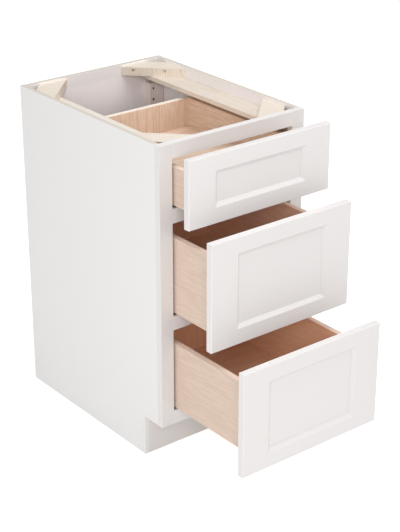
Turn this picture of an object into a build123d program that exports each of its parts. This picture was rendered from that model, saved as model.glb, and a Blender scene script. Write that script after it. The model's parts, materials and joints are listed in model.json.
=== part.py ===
from build123d import *
import os
from math import radians, tan
from typing import NamedTuple

# A face-frame base cabinet with three drawers, in millimetres.
# X runs to the right, Y to the back and Z up. The origin is on the floor, at the middle of the
# cabinet's back, so the front of the face frame is at y = -cabinet_depth.
# The drawers stand part open, as in the photograph.
os.makedirs("parts", exist_ok=True)

# ---- The case ----
cabinet_width = 457.2
cabinet_depth = 609.6
cabinet_height = 876.3
toe_kick_height = 114.3
toe_kick_depth = 76.2
panel_thickness = 12.7
dado_depth = 6.35
floor_drop = 12.7

# ---- Ledges and corner blocks that carry the counter ----
ledge_width = 67.0
ledge_drop = 29.8
block_leg = 127.0
block_clip = 40.0
block_thickness = 23.8
pocket_drop = 8.0
wall_pocket_offset = 26.0
side_pocket_offset = 42.0
pocket_depth = 14.0
pocket_radius = 4.0

# ---- Drilled battens in the back corners, which the slides hang on ----
batten_width = 47.0
batten_depth = 27.1
batten_drop = 62.3
batten_side_gap = 3.0
batten_hole_radius = 3.5
batten_hole_depth = 15.0
batten_hole_pitch = 32.0
batten_holes_per_slide = 3
batten_hole_from_stile = 10.5
batten_hole_above_opening = 25.0

# ---- The face frame ----
frame_thickness = 19.05
frame_member_width = 38.1
tenon_length = 12.7
tenon_thickness = 6.35
tenon_shoulder = 6.35

# ---- Drawer fronts ----
front_thickness = 19.05
front_side_reveal = 6.35
front_top_reveal = 7.9
front_bottom_reveal = 2.4
front_gap = 6.35
top_front_height = 175.0
middle_front_height = 282.0
front_stile_width = 88.9
front_rail_width = 50.8
bevel_width = 9.5
bevel_depth = 7.2
panel_recess = 8.0
panel_insert_thickness = 6.35
edge_ease = 1.2
bumper_thickness = 2.0
bumper_radius = 4.5
bumper_inset = 12.0

# ---- Drawer boxes ----
box_board_thickness = 15.9
box_side_clearance = 5.1
box_floor_clearance = 7.9
top_box_headroom = 22.6
lower_box_headroom = 38.7
box_rear_gap = 71.8
bottom_thickness = 6.35
bottom_recess = 12.7
bottom_side_play = 0.4
tail_length = 12.7
tail_pitch = 25.4
tail_gap = 6.0
tail_angle = 10.0

# ---- Slides under the drawers ----
steel = 1.5
slide_play = 0.4
slide_lift = 1.0
slide_setback = 3.0
slide_leg_height = 28.0
slide_floor_margin = 10.0
slide_lip_height = 4.0
slide_rear_gap = 33.4
track_width = 8.0
track_clearance = 2.1
rail_side_gap = 2.2
centre_rail_length = 494.0
drawer_rail_hem = 4.0

# ---- Rear brackets of the slides ----
bracket_thickness = 2.0
bracket_height = 40.0
bracket_reach = 55.0
bracket_outer_wing = 16.0
bracket_inner_wing = 18.0
bracket_tongue_width = 38.0

# ---- Locking clips under the front of each drawer ----
clip_width = 34.0
clip_length = 62.0
clip_height = 11.0
clip_taper = 14.0
clip_slot_width = 4.0
clip_slot_length = 30.0

# ---- Holes for the screws of the fixed rails and of the brackets ----
screw_hole_radius = 2.3
slide_hole_heights = (8.0, 20.0)

# ---- How far each drawer stands open ----
top_drawer_opened = 84.0
middle_drawer_opened = 169.0
bottom_drawer_opened = 290.0

# ---- Positions that follow from the sizes above ----
half_width = cabinet_width / 2
inside_half_width = half_width - panel_thickness
opening_half_width = half_width - frame_member_width
frame_face = -cabinet_depth
frame_back = frame_face + frame_thickness
back_inside = -panel_thickness
batten_face = back_inside - batten_depth
bottom_rail_top = toe_kick_height + frame_member_width
floor_top = bottom_rail_top - floor_drop
floor_underside = floor_top - panel_thickness
ledge_top = cabinet_height - ledge_drop
block_top = ledge_top + block_thickness
batten_top = cabinet_height - batten_drop
box_half_width = opening_half_width - box_side_clearance
box_inside_half_width = box_half_width - box_board_thickness
box_depth = cabinet_depth + bumper_thickness + batten_face - box_rear_gap
front_half_width = half_width - front_side_reveal
shut_box_face = frame_face - bumper_thickness
drawer_rail_half_width = track_width / 2 + 2 * slide_play + 2 * steel
track_from_stile = box_side_clearance + box_board_thickness + rail_side_gap + drawer_rail_half_width


class Bay(NamedTuple):
    """The heights of one drawer's frame opening and front, and how far the drawer is open."""

    name: str
    opening_bottom: float
    opening_top: float
    front_bottom: float
    front_top: float
    headroom: float
    opened: float

    @property
    def box_bottom(self):
        return self.opening_bottom + box_floor_clearance

    @property
    def box_top(self):
        return self.opening_top - self.headroom

    @property
    def bottom_underside(self):
        return self.box_bottom + bottom_recess

    @property
    def box_face(self):
        return shut_box_face - self.opened

    @property
    def box_rear(self):
        return self.box_face + box_depth


def lay_out_bays():
    """Stack the three fronts down from the rim and centre a frame rail behind each gap."""
    top_front_top = cabinet_height - front_top_reveal
    top_front_bottom = top_front_top - top_front_height
    middle_front_top = top_front_bottom - front_gap
    middle_front_bottom = middle_front_top - middle_front_height
    bottom_front_top = middle_front_bottom - front_gap
    bottom_front_bottom = toe_kick_height + front_bottom_reveal
    upper_rail_middle = (top_front_bottom + middle_front_top) / 2
    lower_rail_middle = (middle_front_bottom + bottom_front_top) / 2
    half_rail = frame_member_width / 2
    top_bay = Bay(
        "top_drawer",
        upper_rail_middle + half_rail,
        cabinet_height - frame_member_width,
        top_front_bottom,
        top_front_top,
        top_box_headroom,
        top_drawer_opened,
    )
    middle_bay = Bay(
        "middle_drawer",
        lower_rail_middle + half_rail,
        upper_rail_middle - half_rail,
        middle_front_bottom,
        middle_front_top,
        lower_box_headroom,
        middle_drawer_opened,
    )
    bottom_bay = Bay(
        "bottom_drawer",
        bottom_rail_top,
        lower_rail_middle - half_rail,
        bottom_front_bottom,
        bottom_front_top,
        lower_box_headroom,
        bottom_drawer_opened,
    )
    return [top_bay, middle_bay, bottom_bay]


def board(x_from, x_to, y_from, y_to, z_from, z_to):
    """A straight board between six planes."""
    corner = (Align.MIN, Align.MIN, Align.MIN)
    blank = Box(x_to - x_from, y_to - y_from, z_to - z_from, align=corner)
    return Pos(x_from, y_from, z_from) * blank


def peg(start, direction, length, radius):
    """A round rod from a start point along a direction."""
    return extrude(Plane(start, z_dir=direction) * Circle(radius), length)


def flipped(piece):
    """The same piece on the other side of the cabinet."""
    return mirror(piece, about=Plane.YZ)


def with_flipped(pieces):
    """A list of left-hand pieces followed by their right-hand twins."""
    return pieces + [flipped(piece) for piece in pieces]


def batten_hole_heights(bay):
    """The holes beside one slide, from the one that its bracket uses upward."""
    lowest = bay.opening_bottom + batten_hole_above_opening
    return [lowest + index * batten_hole_pitch for index in range(batten_holes_per_slide)]


# ---- The case ----
def side_panel():
    """The left side, notched for the toe kick and grooved for the floor and the back."""
    notch_face = frame_face + toe_kick_depth
    outline = [
        (0, 0),
        (notch_face, 0),
        (notch_face, toe_kick_height),
        (frame_back, toe_kick_height),
        (frame_back, cabinet_height),
        (0, cabinet_height),
    ]
    blank = extrude(Plane.YZ * Polygon(*outline, align=None), panel_thickness, dir=(1, 0, 0))
    blank = Pos(-half_width, 0, 0) * blank
    inside = -inside_half_width
    groove = board(inside - dado_depth, inside, frame_back, 0, floor_underside, floor_top)
    rabbet = board(inside - dado_depth, inside, back_inside, 0, 0, cabinet_height)
    return blank - groove - rabbet


def back_panel():
    reach = inside_half_width + dado_depth
    return board(-reach, reach, back_inside, 0, 0, cabinet_height)


def floor_panel():
    reach = inside_half_width + dado_depth
    return board(-reach, reach, frame_back, back_inside, floor_underside, floor_top)


def toe_kick_board():
    face = frame_face + toe_kick_depth
    return board(-inside_half_width, inside_half_width, face, face + panel_thickness, 0, floor_underside)


def top_ledge():
    """A flat strip along the top of the left side, between the back and the face frame."""
    inside = -inside_half_width
    underside = ledge_top - panel_thickness
    return board(inside, inside + ledge_width, frame_back, back_inside, underside, ledge_top)


def corner_block(wall, inward):
    """A triangular block in a left corner, with its own corner cut off.

    The wall is the y of the board that the block lies against, and inward is 1 or -1, the
    way along Y from that board into the cabinet. Two pockets in the slanted face take the
    screws, one towards the wall and one towards the side.
    """
    side = -inside_half_width
    outline = [
        (side + block_clip, wall),
        (side + block_leg, wall),
        (side, wall + inward * block_leg),
        (side, wall + inward * block_clip),
    ]
    block = extrude(Plane.XY * Polygon(*outline, align=None), block_thickness, dir=(0, 0, 1))
    block = Pos(0, 0, ledge_top) * block
    height = block_top - pocket_drop
    wall_floor = wall_pocket_offset - pocket_depth
    side_floor = side_pocket_offset - pocket_depth
    to_wall = (side + block_leg - wall_pocket_offset, wall + inward * wall_floor, height)
    to_side = (side + side_floor, wall + inward * (block_leg - side_pocket_offset), height)
    block -= peg(to_wall, (0, inward, 0), block_leg, pocket_radius)
    return block - peg(to_side, (1, 0, 0), block_leg, pocket_radius)


def slide_batten(bays):
    """The left batten, with a few holes beside each slide for its rear bracket."""
    side = -inside_half_width
    outer = side + batten_side_gap
    batten = board(outer, side + batten_width, batten_face, back_inside, floor_top, batten_top)
    x = -opening_half_width + batten_hole_from_stile
    for bay in bays:
        for height in batten_hole_heights(bay):
            batten -= peg((x, batten_face, height), (0, 1, 0), batten_hole_depth, batten_hole_radius)
    return batten


# ---- The face frame ----
def frame_rail(z_from, z_to):
    """A rail between the two stiles, with a tenon on each end."""
    rail = board(-opening_half_width, opening_half_width, frame_face, frame_back, z_from, z_to)
    reach = opening_half_width + tenon_length
    middle = (frame_face + frame_back) / 2
    near = middle - tenon_thickness / 2
    far = middle + tenon_thickness / 2
    tenon = board(-reach, reach, near, far, z_from + tenon_shoulder, z_to - tenon_shoulder)
    return rail + tenon


def frame_stile(rails):
    """The left stile, mortised for the rails' tenons."""
    stile = board(
        -half_width, -opening_half_width, frame_face, frame_back, toe_kick_height, cabinet_height
    )
    for rail in rails:
        stile -= rail
    return stile


# ---- Drawer boxes ----
def dovetails(z_from, z_to, root, tip):
    """The tails on one end of a left drawer side, between two heights.

    They grow from the plane y = root to the plane y = tip and are widest at the tip.
    """
    count = round((z_to - z_from) / tail_pitch)
    pitch = (z_to - z_from) / count
    tip_half = (pitch - tail_gap) / 2
    root_half = tip_half - tail_length * tan(radians(tail_angle))
    tails = []
    for index in range(count):
        middle = z_from + (index + 0.5) * pitch
        outline = [
            (root, middle - root_half),
            (tip, middle - tip_half),
            (tip, middle + tip_half),
            (root, middle + root_half),
        ]
        tail = extrude(Plane.YZ * Polygon(*outline, align=None), box_board_thickness, dir=(1, 0, 0))
        tails.append(Pos(-box_half_width, 0, 0) * tail)
    return tails


def front_tails(bay):
    root = bay.box_face + box_board_thickness
    return dovetails(bay.box_bottom, bay.box_top, root, root - tail_length)


def rear_tails(bay):
    root = bay.box_rear - box_board_thickness
    return dovetails(bay.bottom_underside + bottom_thickness, bay.box_top, root, root + tail_length)


def bottom_groove(bay):
    """The space that the drawer bottom needs in the sides and the box front."""
    reach = box_inside_half_width + dado_depth
    face = bay.box_face + box_board_thickness - dado_depth
    underside = bay.bottom_underside
    return board(-reach, reach, face, bay.box_rear, underside, underside + bottom_thickness)


def drawer_side(bay):
    """The left side of a drawer box, tailed at both ends and grooved for the bottom."""
    outer = -box_half_width
    inner = -box_inside_half_width
    root = bay.box_face + box_board_thickness
    rear_root = bay.box_rear - box_board_thickness
    foot_top = bay.bottom_underside + bottom_thickness
    side = board(outer, inner, root, rear_root, bay.box_bottom, bay.box_top)
    side += board(outer, inner, rear_root, bay.box_rear, bay.box_bottom, foot_top)
    for tail in front_tails(bay) + rear_tails(bay):
        side += tail
    return side - bottom_groove(bay)


def drawer_box_front(bay):
    """The inner front of the box, with sockets that the sides' tails drop into."""
    inner_face = bay.box_face + box_board_thickness
    piece = board(
        -box_half_width, box_half_width, bay.box_face, inner_face, bay.box_bottom, bay.box_top
    )
    for tail in with_flipped(front_tails(bay)):
        piece -= tail
    return piece - bottom_groove(bay)


def drawer_box_back(bay):
    """The back of the box, which stands on the drawer bottom."""
    inner_face = bay.box_rear - box_board_thickness
    foot = bay.bottom_underside + bottom_thickness
    piece = board(-box_half_width, box_half_width, inner_face, bay.box_rear, foot, bay.box_top)
    for tail in with_flipped(rear_tails(bay)):
        piece -= tail
    return piece


def drawer_bottom(bay):
    reach = box_inside_half_width + dado_depth - bottom_side_play
    face = bay.box_face + box_board_thickness - dado_depth
    underside = bay.bottom_underside
    return board(-reach, reach, face, bay.box_rear, underside, underside + bottom_thickness)


# ---- Drawer fronts: two stiles, two rails and a flat panel in their grooves ----
def framing_profile(width):
    """The section of a front's frame member, from its outer edge to its inner one.

    The first number runs across the member and the second from the front face back. The inner
    edge slopes down to the panel, and a groove under the slope holds it.
    """
    groove_floor = width - bevel_width
    return [
        (0, 0),
        (width - bevel_width, 0),
        (width, bevel_depth),
        (width, panel_recess),
        (groove_floor, panel_recess),
        (groove_floor, panel_recess + panel_insert_thickness),
        (width, panel_recess + panel_insert_thickness),
        (width, front_thickness),
        (0, front_thickness),
    ]


def eased_front_blank(bay):
    """The whole front as one block with its front edges eased, which trims its members."""
    face = bay.box_face - front_thickness
    block = board(
        -front_half_width, front_half_width, face, bay.box_face, bay.front_bottom, bay.front_top
    )
    return chamfer(block.faces().sort_by(Axis.Y)[0].edges(), edge_ease)


def drawer_front_stiles(bay):
    """Both stiles of a front, full height."""
    face = bay.box_face - front_thickness
    outline = [
        (-front_half_width + across, face + back)
        for across, back in framing_profile(front_stile_width)
    ]
    height = bay.front_top - bay.front_bottom
    stile = extrude(Plane.XY * Polygon(*outline, align=None), height, dir=(0, 0, 1))
    stile = Pos(0, 0, bay.front_bottom) * stile
    return with_flipped([stile & eased_front_blank(bay)])


def drawer_front_rails(bay):
    """The lower and upper rail of a front, coped over the stiles' slopes."""
    face = bay.box_face - front_thickness
    reach = front_half_width - front_stile_width + bevel_width
    rails = []
    for edge, inward in ((bay.front_bottom, 1), (bay.front_top, -1)):
        outline = [
            (face + back, edge + inward * across)
            for across, back in framing_profile(front_rail_width)
        ]
        rail = extrude(Plane.YZ * Polygon(*outline, align=None), 2 * reach, dir=(1, 0, 0))
        rail = (Pos(-reach, 0, 0) * rail) & eased_front_blank(bay)
        for stile in drawer_front_stiles(bay):
            rail -= stile
        rails.append(rail)
    return rails


def drawer_front_panel(bay):
    face = bay.box_face - front_thickness + panel_recess
    reach = front_half_width - front_stile_width + bevel_width - bottom_side_play
    margin = front_rail_width - bevel_width + bottom_side_play
    return board(
        -reach,
        reach,
        face,
        face + panel_insert_thickness,
        bay.front_bottom + margin,
        bay.front_top - margin,
    )


def drawer_bumpers(bay):
    """Four soft discs on the back of a front, which meet the face frame when it shuts."""
    x = -front_half_width + bumper_inset
    heights = (bay.front_bottom + bumper_inset, bay.front_top - bumper_inset)
    discs = [
        peg((x, bay.box_face, height), (0, 1, 0), bumper_thickness, bumper_radius)
        for height in heights
    ]
    return with_flipped(discs)


# ---- Slides: three nested steel rails on each side of a drawer ----
def channel(inside_width, inside_top, bottom, y_from, y_to):
    """A steel channel, open below, that runs over the track of a left-hand slide."""
    centre = -opening_half_width + track_from_stile
    near = centre - inside_width / 2
    far = centre + inside_width / 2
    outer = board(near - steel, far + steel, y_from, y_to, bottom, inside_top + steel)
    return outer - board(near, far, y_from, y_to, bottom, inside_top)


def drawer_rail_inside_top(bay):
    return bay.bottom_underside - steel


def centre_rail_inside_top(bay):
    return drawer_rail_inside_top(bay) - slide_play - steel


def cabinet_rail(bay):
    """The fixed rail: a leg on the stile, a floor under the drawer and a raised track."""
    stile_edge = -opening_half_width
    front = frame_face + slide_setback
    rear = batten_face - slide_rear_gap
    foot = bay.opening_bottom + slide_lift
    inner_edge = stile_edge + track_from_stile + slide_floor_margin
    leg = board(stile_edge, stile_edge + steel, front, rear, foot, foot + slide_leg_height)
    floor = board(stile_edge, inner_edge, front, rear, foot, foot + steel)
    lip = board(inner_edge - steel, inner_edge, front, rear, foot, foot + slide_lip_height)
    track_inside_top = centre_rail_inside_top(bay) - slide_play - steel
    track_inside_width = track_width - 2 * steel
    track_front = shut_box_face + box_board_thickness + track_clearance
    track = channel(track_inside_width, track_inside_top, foot, track_front, rear)
    centre = stile_edge + track_from_stile
    hollow = board(
        centre - track_inside_width / 2,
        centre + track_inside_width / 2,
        track_front,
        rear,
        foot,
        foot + steel,
    )
    rail = leg + floor + lip + track - hollow
    middle = (frame_face + frame_back) / 2
    for height in slide_hole_heights:
        rail -= peg((stile_edge, middle, foot + height), (1, 0, 0), steel, screw_hole_radius)
    return rail


def centre_rail(bay):
    """The middle rail, which moves half as far as the drawer."""
    y_from = shut_box_face + box_board_thickness + slide_play - bay.opened / 2
    y_to = y_from + centre_rail_length
    bottom = bay.opening_bottom + slide_lift + steel + slide_play
    inside_width = track_width + 2 * slide_play
    return channel(inside_width, centre_rail_inside_top(bay), bottom, y_from, y_to)


def drawer_rail(bay):
    """The rail screwed under the drawer, over the middle rail."""
    y_from = bay.box_face + box_board_thickness
    inside_width = track_width + 4 * slide_play + 2 * steel
    bottom = bay.opening_bottom + slide_lift + drawer_rail_hem
    return channel(inside_width, drawer_rail_inside_top(bay), bottom, y_from, bay.box_rear)


def rear_bracket(bay):
    """An angle that joins the back of a left-hand slide to the batten."""
    stile_edge = -opening_half_width
    top = bay.opening_bottom + slide_lift
    foot = top - bracket_thickness
    plate_face = batten_face - bracket_thickness
    outer = stile_edge - bracket_outer_wing
    plate = board(
        outer, stile_edge + bracket_inner_wing, plate_face, batten_face, foot, foot + bracket_height
    )
    tongue_end = batten_face - bracket_reach
    tongue = board(
        stile_edge, stile_edge + bracket_tongue_width, tongue_end, batten_face, foot, top
    )
    hole = peg(
        (stile_edge + batten_hole_from_stile, plate_face, batten_hole_heights(bay)[0]),
        (0, 1, 0),
        bracket_thickness,
        screw_hole_radius,
    )
    return plate + tongue - hole


def locking_clip(bay):
    """A plastic catch under the drawer bottom that holds the drawer to its slide."""
    near = -opening_half_width + track_from_stile + drawer_rail_half_width
    far = near + clip_width
    front = bay.box_face + box_board_thickness
    rear = front + clip_length
    outline = [
        (near, front),
        (far, front),
        (far, rear - clip_taper),
        (far - clip_taper, rear),
        (near, rear),
    ]
    foot = bay.bottom_underside - clip_height
    clip = extrude(Plane.XY * Polygon(*outline, align=None), clip_height, dir=(0, 0, 1))
    clip = Pos(0, 0, foot) * clip
    middle = (near + far) / 2
    half_slot = clip_slot_width / 2
    slot = board(
        middle - half_slot,
        middle + half_slot,
        front,
        front + clip_slot_length,
        foot,
        bay.bottom_underside,
    )
    return clip - slot


# ---- Everything that belongs to one drawer ----
def drawer_nodes(bay):
    side = drawer_side(bay)
    clips = with_flipped([locking_clip(bay)])
    return {
        f"{bay.name}_left_side": [side],
        f"{bay.name}_right_side": [flipped(side)],
        f"{bay.name}_box_front": [drawer_box_front(bay)],
        f"{bay.name}_box_back": [drawer_box_back(bay)],
        f"{bay.name}_bottom": [drawer_bottom(bay)],
        f"{bay.name}_slide_rails": with_flipped([drawer_rail(bay)]),
        f"{bay.name}_locking_clips": clips,
        f"{bay.name}_front_stiles": drawer_front_stiles(bay),
        f"{bay.name}_front_rails": drawer_front_rails(bay),
        f"{bay.name}_front_panel": [drawer_front_panel(bay)],
        f"{bay.name}_bumpers": drawer_bumpers(bay),
        f"{bay.name}_centre_rails": with_flipped([centre_rail(bay)]),
    }


def cabinet_nodes(bays):
    """The case, its face frame, and the fixed rails and brackets of the slides."""
    top_bay, middle_bay, bottom_bay = bays
    top_rail = frame_rail(top_bay.opening_top, cabinet_height)
    upper_mid_rail = frame_rail(middle_bay.opening_top, top_bay.opening_bottom)
    lower_mid_rail = frame_rail(bottom_bay.opening_top, middle_bay.opening_bottom)
    bottom_rail = frame_rail(toe_kick_height, bottom_rail_top)
    side = side_panel()
    stile = frame_stile([top_rail, upper_mid_rail, lower_mid_rail, bottom_rail])
    front_block = corner_block(frame_back, 1)
    back_block = corner_block(back_inside, -1)
    ledge = top_ledge()
    batten = slide_batten(bays)
    nodes = {
        "left_side_panel": [side],
        "right_side_panel": [flipped(side)],
        "back_panel": [back_panel()],
        "floor_panel": [floor_panel()],
        "toe_kick_board": [toe_kick_board()],
        "left_stile": [stile],
        "right_stile": [flipped(stile)],
        "top_rail": [top_rail],
        "upper_mid_rail": [upper_mid_rail],
        "lower_mid_rail": [lower_mid_rail],
        "bottom_rail": [bottom_rail],
        "left_top_ledge": [ledge],
        "right_top_ledge": [flipped(ledge)],
        "front_left_corner_block": [front_block],
        "front_right_corner_block": [flipped(front_block)],
        "back_left_corner_block": [back_block],
        "back_right_corner_block": [flipped(back_block)],
        "left_slide_batten": [batten],
        "right_slide_batten": [flipped(batten)],
        "rear_slide_brackets": with_flipped([rear_bracket(bay) for bay in bays]),
    }
    for bay in bays:
        nodes[f"{bay.name}_cabinet_rails"] = with_flipped([cabinet_rail(bay)])
    return nodes


def write_node(name, solids):
    """Write one node to its own file, as one solid or as a group of separate solids."""
    shape = solids[0] if len(solids) == 1 else Compound(solids)
    export_step(shape, f"parts/{name}.step")


all_bays = lay_out_bays()
all_nodes = cabinet_nodes(all_bays)
for drawer_bay in all_bays:
    all_nodes.update(drawer_nodes(drawer_bay))
for node_name, node_solids in all_nodes.items():
    write_node(node_name, node_solids)
print(len(all_nodes), "nodes written")
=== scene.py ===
# %% [markdown]
# # A base cabinet with three drawers, dressed for a studio picture
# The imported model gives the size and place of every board. This lesson keeps those sizes. It
# gives each board softened edges and a finish with its own grain or paint skin, and it adds the
# small metal and plastic pieces that the construction model leaves out.

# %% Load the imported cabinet
import json
from math import radians

import bmesh
import bpy
from mathutils import Euler, Matrix, Vector


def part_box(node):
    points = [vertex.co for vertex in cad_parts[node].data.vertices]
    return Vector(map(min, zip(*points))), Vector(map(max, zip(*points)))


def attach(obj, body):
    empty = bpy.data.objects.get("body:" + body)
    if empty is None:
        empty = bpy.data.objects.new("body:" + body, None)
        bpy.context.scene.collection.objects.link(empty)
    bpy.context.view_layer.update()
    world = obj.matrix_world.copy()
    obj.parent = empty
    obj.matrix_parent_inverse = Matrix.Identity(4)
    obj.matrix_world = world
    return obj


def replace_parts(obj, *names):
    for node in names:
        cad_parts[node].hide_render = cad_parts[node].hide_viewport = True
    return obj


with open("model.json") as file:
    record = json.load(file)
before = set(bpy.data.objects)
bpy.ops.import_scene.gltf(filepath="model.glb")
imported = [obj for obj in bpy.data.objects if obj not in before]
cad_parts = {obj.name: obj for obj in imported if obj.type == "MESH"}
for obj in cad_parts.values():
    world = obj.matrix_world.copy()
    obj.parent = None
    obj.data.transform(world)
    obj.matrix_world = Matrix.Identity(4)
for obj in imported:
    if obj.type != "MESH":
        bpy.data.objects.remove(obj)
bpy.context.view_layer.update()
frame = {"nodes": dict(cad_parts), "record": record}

record = frame["record"]
body_of_node = {
    node: body for body, nodes in record["behaviour"]["bodies"].items() for node in nodes
}
scene = bpy.context.scene
MM = 0.001
HANDS = (("left", -1), ("right", 1))
DRAWERS = ("top_drawer", "middle_drawer", "bottom_drawer")

# %% [markdown]
# ## The camera
# The picture was taken from the front left and above, with a long lens. A few dozen corners of
# the cabinet, measured in the picture, gave the camera's place and lens by least squares. The
# sensor width counts for the longer side of the frame, which is the height here.

# %% Place the camera
PICTURE_HEIGHT = 532
CAMERA_PLACE = (-2.14449, -3.17659, 2.02622)
CAMERA_PITCH = 65.49
CAMERA_YAW = -38.45
FOCAL_PIXELS = 1450.35
SENSOR_MM = 36.0
PICTURE_SHIFT = 1.39

camera_data = bpy.data.cameras.new("picture_camera")
camera_data.sensor_width = SENSOR_MM
camera_data.lens = FOCAL_PIXELS / PICTURE_HEIGHT * SENSOR_MM
camera_data.shift_y = PICTURE_SHIFT / PICTURE_HEIGHT
camera = bpy.data.objects.new("picture_camera", camera_data)
camera.location = CAMERA_PLACE
camera.rotation_euler = Euler((radians(CAMERA_PITCH), 0, radians(CAMERA_YAW)))
scene.collection.objects.link(camera)
scene.camera = camera
print("lens:", round(camera_data.lens, 2), "mm")

# %% [markdown]
# ## The studio
# The cabinet stands in a white tent: light comes from everywhere, so shadows are faint and each
# painted face is nearly as bright as the next. An even white world does half of this. A large
# soft lamp beside the camera reaches as deep into the drawers as the camera sees, and another
# one overhead lifts the top faces. Weaker ones on the left and on the right light the side and
# the fronts, each from its own direction, so that the slopes around the panels, which look
# between the two, don't come out brighter than both. The standard view transform keeps white
# paint white.

# %% Make a world and four soft lamps
WORLD_LIGHT = 0.43
WORLD_COLOUR = (1.0, 1.0, 1.0, 1.0)
LAMP_COLOUR = (1.0, 0.99, 0.985)
CABINET_MIDDLE = (0, -0.4, 0.45)
scene.view_settings.view_transform = "Standard"
world = bpy.data.worlds.new("white_tent")
world.use_nodes = True
background = world.node_tree.nodes["Background"]
background.inputs["Color"].default_value = WORLD_COLOUR
background.inputs["Strength"].default_value = WORLD_LIGHT
scene.world = world


def soft_lamp(name, place, size, watts):
    """A square area lamp that looks at the cabinet."""
    lamp = bpy.data.lights.new(name, "AREA")
    lamp.shape = "SQUARE"
    lamp.size = size
    lamp.energy = watts
    lamp.color = LAMP_COLOUR
    holder = bpy.data.objects.new(name, lamp)
    holder.location = place
    aim = Vector(CABINET_MIDDLE) - Vector(place)
    holder.rotation_euler = aim.to_track_quat("-Z", "Y").to_euler()
    scene.collection.objects.link(holder)


soft_lamp("camera_side_softbox", (-2.2, -3.3, 2.2), size=1.6, watts=48)
soft_lamp("overhead_softbox", (0.3, -0.9, 3.6), size=2.4, watts=54)
soft_lamp("left_side_softbox", (-3.3, -0.7, 2.1), size=2.2, watts=22)
soft_lamp("right_front_softbox", (2.2, -3.1, 2.3), size=1.6, watts=21)

# %% [markdown]
# ## Shared effects
# Some effects turn up in more than one finish, so each is a shader node group with named inputs
# and outputs: the figure of wood, the layers of plywood, the skin of a sprayed coat, and the
# wear of edges. A group only puts out numbers. Each material decides what colour, roughness or
# height they make.

# %% A short way to build node groups


class GroupBuilder:
    """Collects the nodes and links of one shader node group."""

    def __init__(self, name, inputs, outputs):
        self.tree = bpy.data.node_groups.new(name, "ShaderNodeTree")
        for label, kind, value in inputs:
            socket = self.tree.interface.new_socket(label, in_out="INPUT", socket_type=kind)
            if value is not None:
                socket.default_value = value
        for label in outputs:
            self.tree.interface.new_socket(label, in_out="OUTPUT", socket_type="NodeSocketFloat")
        self.inputs = self.tree.nodes.new("NodeGroupInput")
        self.outputs = self.tree.nodes.new("NodeGroupOutput")

    def given(self, label):
        return self.inputs.outputs[label]

    def put(self, socket, value):
        """Link a socket to another node's output, or set it to a plain value."""
        if isinstance(value, bpy.types.NodeSocket):
            self.tree.links.new(value, socket)
        else:
            socket.default_value = value

    def math(self, operation, first, second=0.0):
        node = self.tree.nodes.new("ShaderNodeMath")
        node.operation = operation
        for socket, value in zip(node.inputs, (first, second)):
            self.put(socket, value)
        return node.outputs[0]

    def weigh(self, *pairs):
        """A sum of values, each times its weight."""
        total = self.math("MULTIPLY", *pairs[0])
        for value, weight in pairs[1:]:
            total = self.math("ADD", total, self.math("MULTIPLY", value, weight))
        return total

    def vector(self, operation, first, second, output="Vector"):
        node = self.tree.nodes.new("ShaderNodeVectorMath")
        node.operation = operation
        self.put(node.inputs[0], first)
        self.put(node.inputs[1], second)
        return node.outputs[output]

    def noise(self, place, scale, detail, roughness=0.5, distortion=0.0):
        node = self.tree.nodes.new("ShaderNodeTexNoise")
        settings = {
            "Vector": place,
            "Scale": scale,
            "Detail": detail,
            "Roughness": roughness,
            "Distortion": distortion,
        }
        for label, value in settings.items():
            self.put(node.inputs[label], value)
        return node.outputs["Fac"]

    def spread(self, value, low, high):
        """Stretch the range from low to high smoothly over 0 to 1."""
        node = self.tree.nodes.new("ShaderNodeMapRange")
        node.interpolation_type = "SMOOTHSTEP"
        self.put(node.inputs["Value"], value)
        self.put(node.inputs["From Min"], low)
        self.put(node.inputs["From Max"], high)
        return node.outputs["Result"]

    def give(self, label, value):
        self.put(self.outputs.inputs[label], value)


print("group builder ready")

# %% [markdown]
# ### Wood figure
# A veneer shows three things at once. Wide contour lines come from the knife that peels the log,
# fine fibres run with the grain, and short dark dashes are its pores. An image could hold all
# this, but it would repeat. Contour lines of a slow noise give the first, noise that is squeezed
# across the grain gives the second, and only the peaks of a finer noise give the third.

# %% The wood figure group
CONTOUR_SCALE = 1.5
CONTOUR_LINES = 16.0
STREAK_SCALE = 13.0
FIBRE_SCALE = 70.0
DASH_SCALE = 46.0
CONTOUR_WEIGHT = 0.16
STREAK_WEIGHT = 0.62
FIBRE_WEIGHT = 0.22
BAND_RANGE = (0.34, 0.66)
DASH_RANGE = (0.66, 0.76)
USUAL_SQUEEZE = (12.0, 12.0, 1.0)
figure = GroupBuilder(
    "wood_figure",
    [("Vector", "NodeSocketVector", None), ("Squeeze", "NodeSocketVector", USUAL_SQUEEZE)],
    ["Band", "Pore", "Height"],
)
squeezed = figure.vector("MULTIPLY", figure.given("Vector"), figure.given("Squeeze"))
slow_field = figure.noise(squeezed, CONTOUR_SCALE, detail=1.0, roughness=0.4, distortion=0.3)
contours = figure.math("PINGPONG", figure.math("MULTIPLY", slow_field, CONTOUR_LINES), 1.0)
streaks = figure.noise(squeezed, STREAK_SCALE, detail=4.0, roughness=0.62)
fibres = figure.noise(squeezed, FIBRE_SCALE, detail=2.0)
together = figure.weigh((contours, CONTOUR_WEIGHT), (streaks, STREAK_WEIGHT), (fibres, FIBRE_WEIGHT))
figure.give("Band", figure.spread(together, *BAND_RANGE))
dashes = figure.spread(figure.noise(squeezed, DASH_SCALE, detail=1.0), *DASH_RANGE)
figure.give("Pore", dashes)
figure.give("Height", figure.math("SUBTRACT", fibres, dashes))
print("group:", figure.tree.name)

# %% [markdown]
# ### Plywood layers
# The edge of plywood shows its layers as stripes. They depend only on how deep a point lies in
# the board, so the group measures that depth along one axis and turns it into stripes: every
# second layer is end grain and looks darker, and a thin glue line parts them.

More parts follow.
